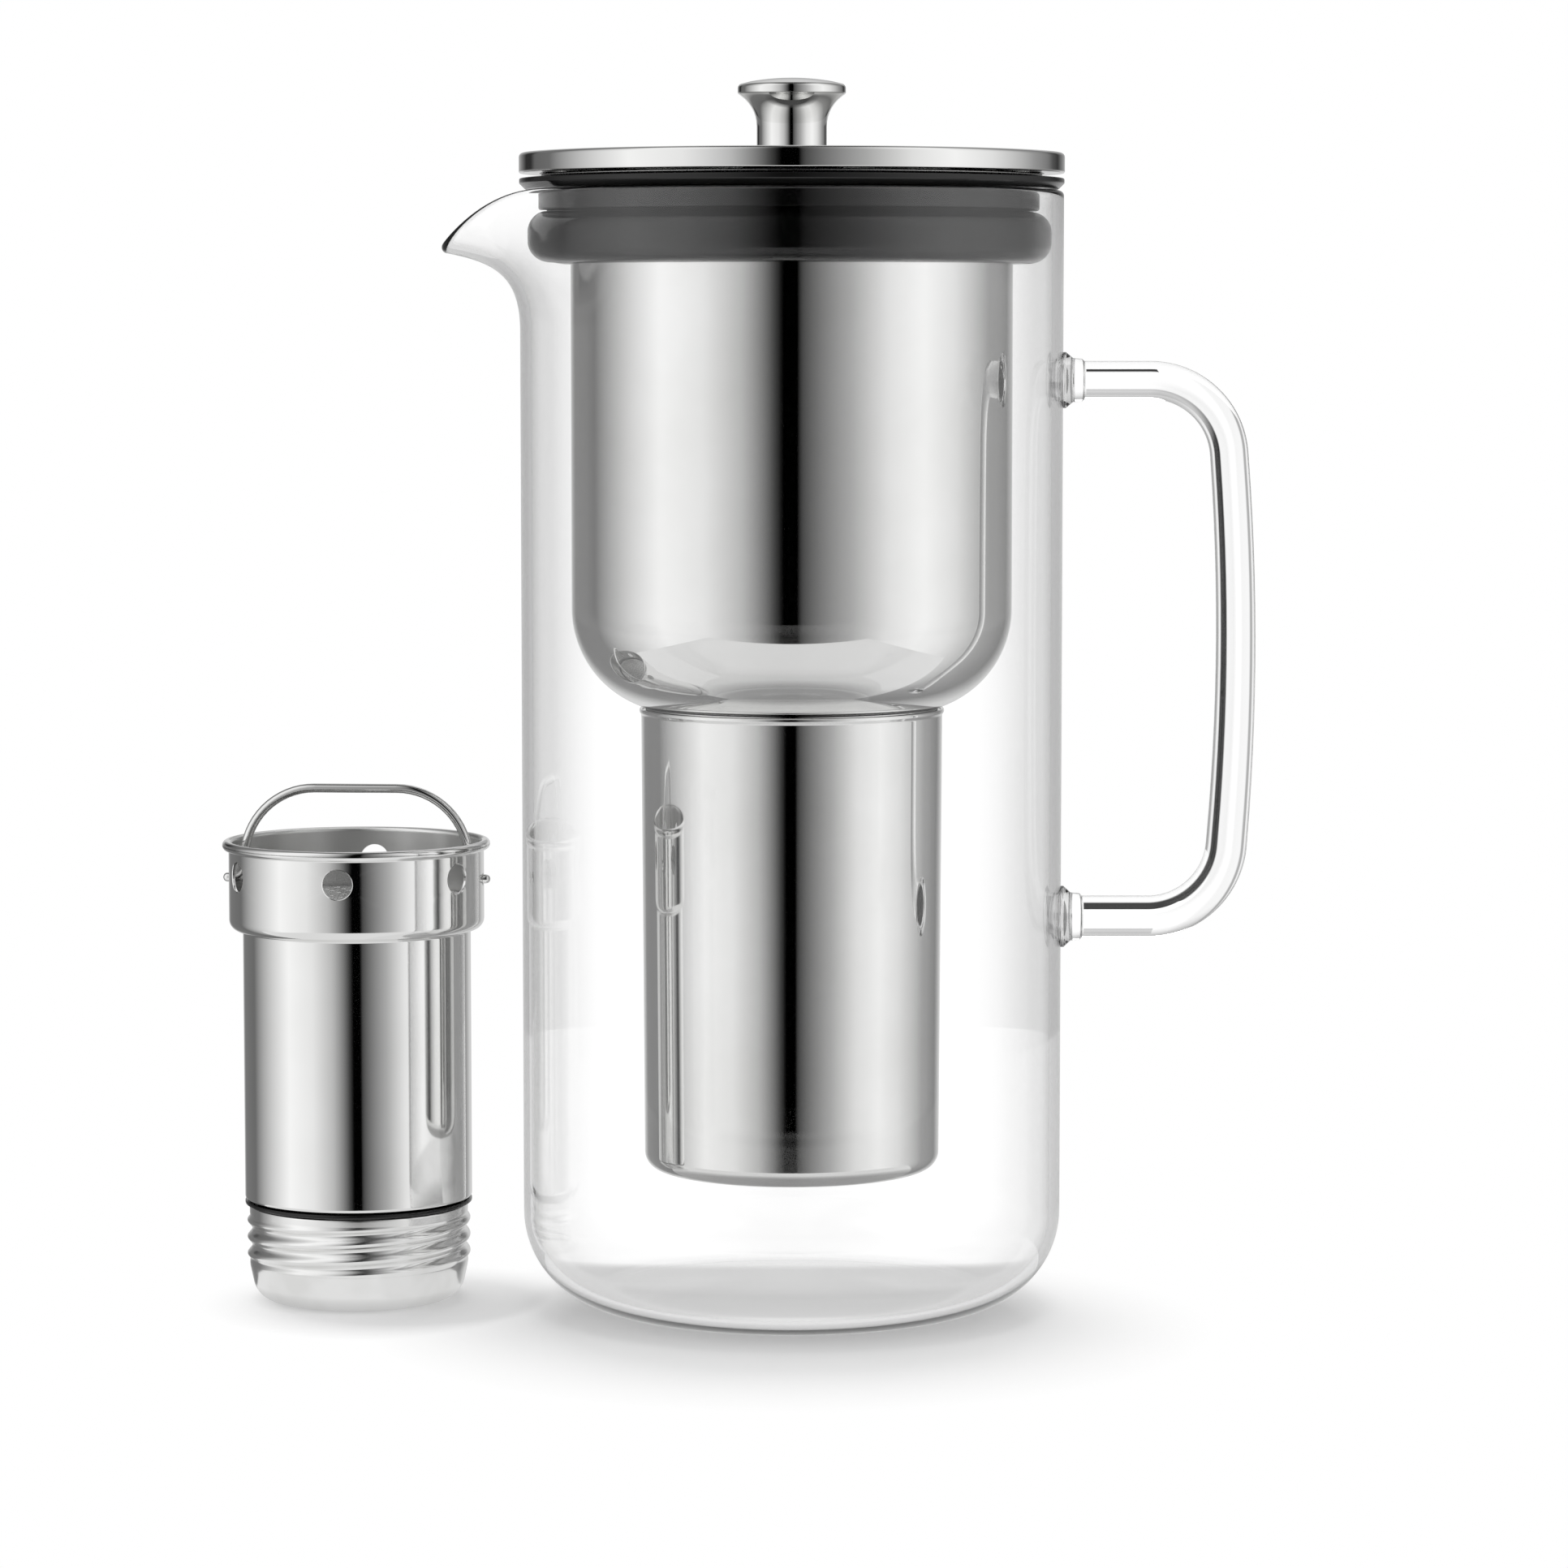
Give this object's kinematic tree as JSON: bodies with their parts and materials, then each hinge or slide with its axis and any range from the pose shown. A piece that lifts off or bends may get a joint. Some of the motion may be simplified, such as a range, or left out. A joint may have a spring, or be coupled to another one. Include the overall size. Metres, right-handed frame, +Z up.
{
  "type": "water filter pitcher",
  "caption": "Round clear glass pitcher with a D handle, a pulled spout, a lift-out steel funnel and lid, and a steel refillable filter cartridge standing beside it.",
  "frame": {"origin": "middle of the jug's flat underside", "axes": "+Z up along the jug's axis, +X towards the handle, -X towards the spout, +Y away from the viewer of the picture"},
  "size_m": [0.2501, 0.1304, 0.2954],
  "materials": {
    "glass": "clear borosilicate glass",
    "polished_steel": "mirror-polished stainless steel",
    "satin_steel": "satin stainless steel",
    "black_plastic": "moulded, satin",
    "black_silicone": "soft silicone",
    "grey_silicone": "soft silicone",
    "granules": "loose filter granules"
  },
  "bodies": {
    "jug": {"glass_jug": "glass", "glass_handle": "glass"},
    "funnel": {"mouth_collar": "black_plastic", "wiper_seal": "black_silicone", "funnel_bowl": "polished_steel", "filter_tube": "polished_steel", "outlet_seal": "grey_silicone"},
    "lid": {"lid_shell": "polished_steel", "lid_liner": "satin_steel", "lid_knob": "polished_steel", "lid_screw": "satin_steel", "screw_washer": "black_silicone"},
    "cap": {"cartridge_cap": "satin_steel", "cap_strainer": "satin_steel"},
    "gasket": {"cap_gasket": "black_silicone"},
    "can": {"cartridge_shell": "polished_steel", "top_strainer": "satin_steel", "filter_granules": "granules"},
    "bail": {"bail_handle": "polished_steel"}
  },
  "joints": [
    {"name": "funnel_lift", "type": "slide", "parent": "jug", "child": "funnel", "axis": [0, 0, 1], "range_m": [0, 0.25]},
    {"name": "lid_lift", "type": "slide", "parent": "funnel", "child": "lid", "axis": [0, 0, 1], "range_m": [0, 0.06]},
    {"name": "cartridge_lift", "type": "slide", "parent": "jug", "child": "cap", "axis": [0, 0, 1], "range_m": [0, 0.11]},
    {"name": "cap_unscrew_rise", "type": "slide", "parent": "cap", "child": "gasket", "axis": [0, 0, 1], "range_m": [0, 0.0124]},
    {"name": "cap_unscrew", "type": "hinge", "parent": "gasket", "child": "can", "pos_m": [-0.1057, 0.006, 0.0236], "axis": [0, 0, 1], "range_deg": [0, 540]},
    {"name": "bail_swing", "type": "hinge", "parent": "can", "child": "bail", "pos_m": [-0.1057, 0.006, 0.1028], "axis": [0.9976, -0.0698, 0], "range_deg": [-90, 90]}
  ],
  "couplings": [
    {"joint": "cap_unscrew_rise", "follows": "cap_unscrew", "m_per_rad": 0.0013051}
  ]
}
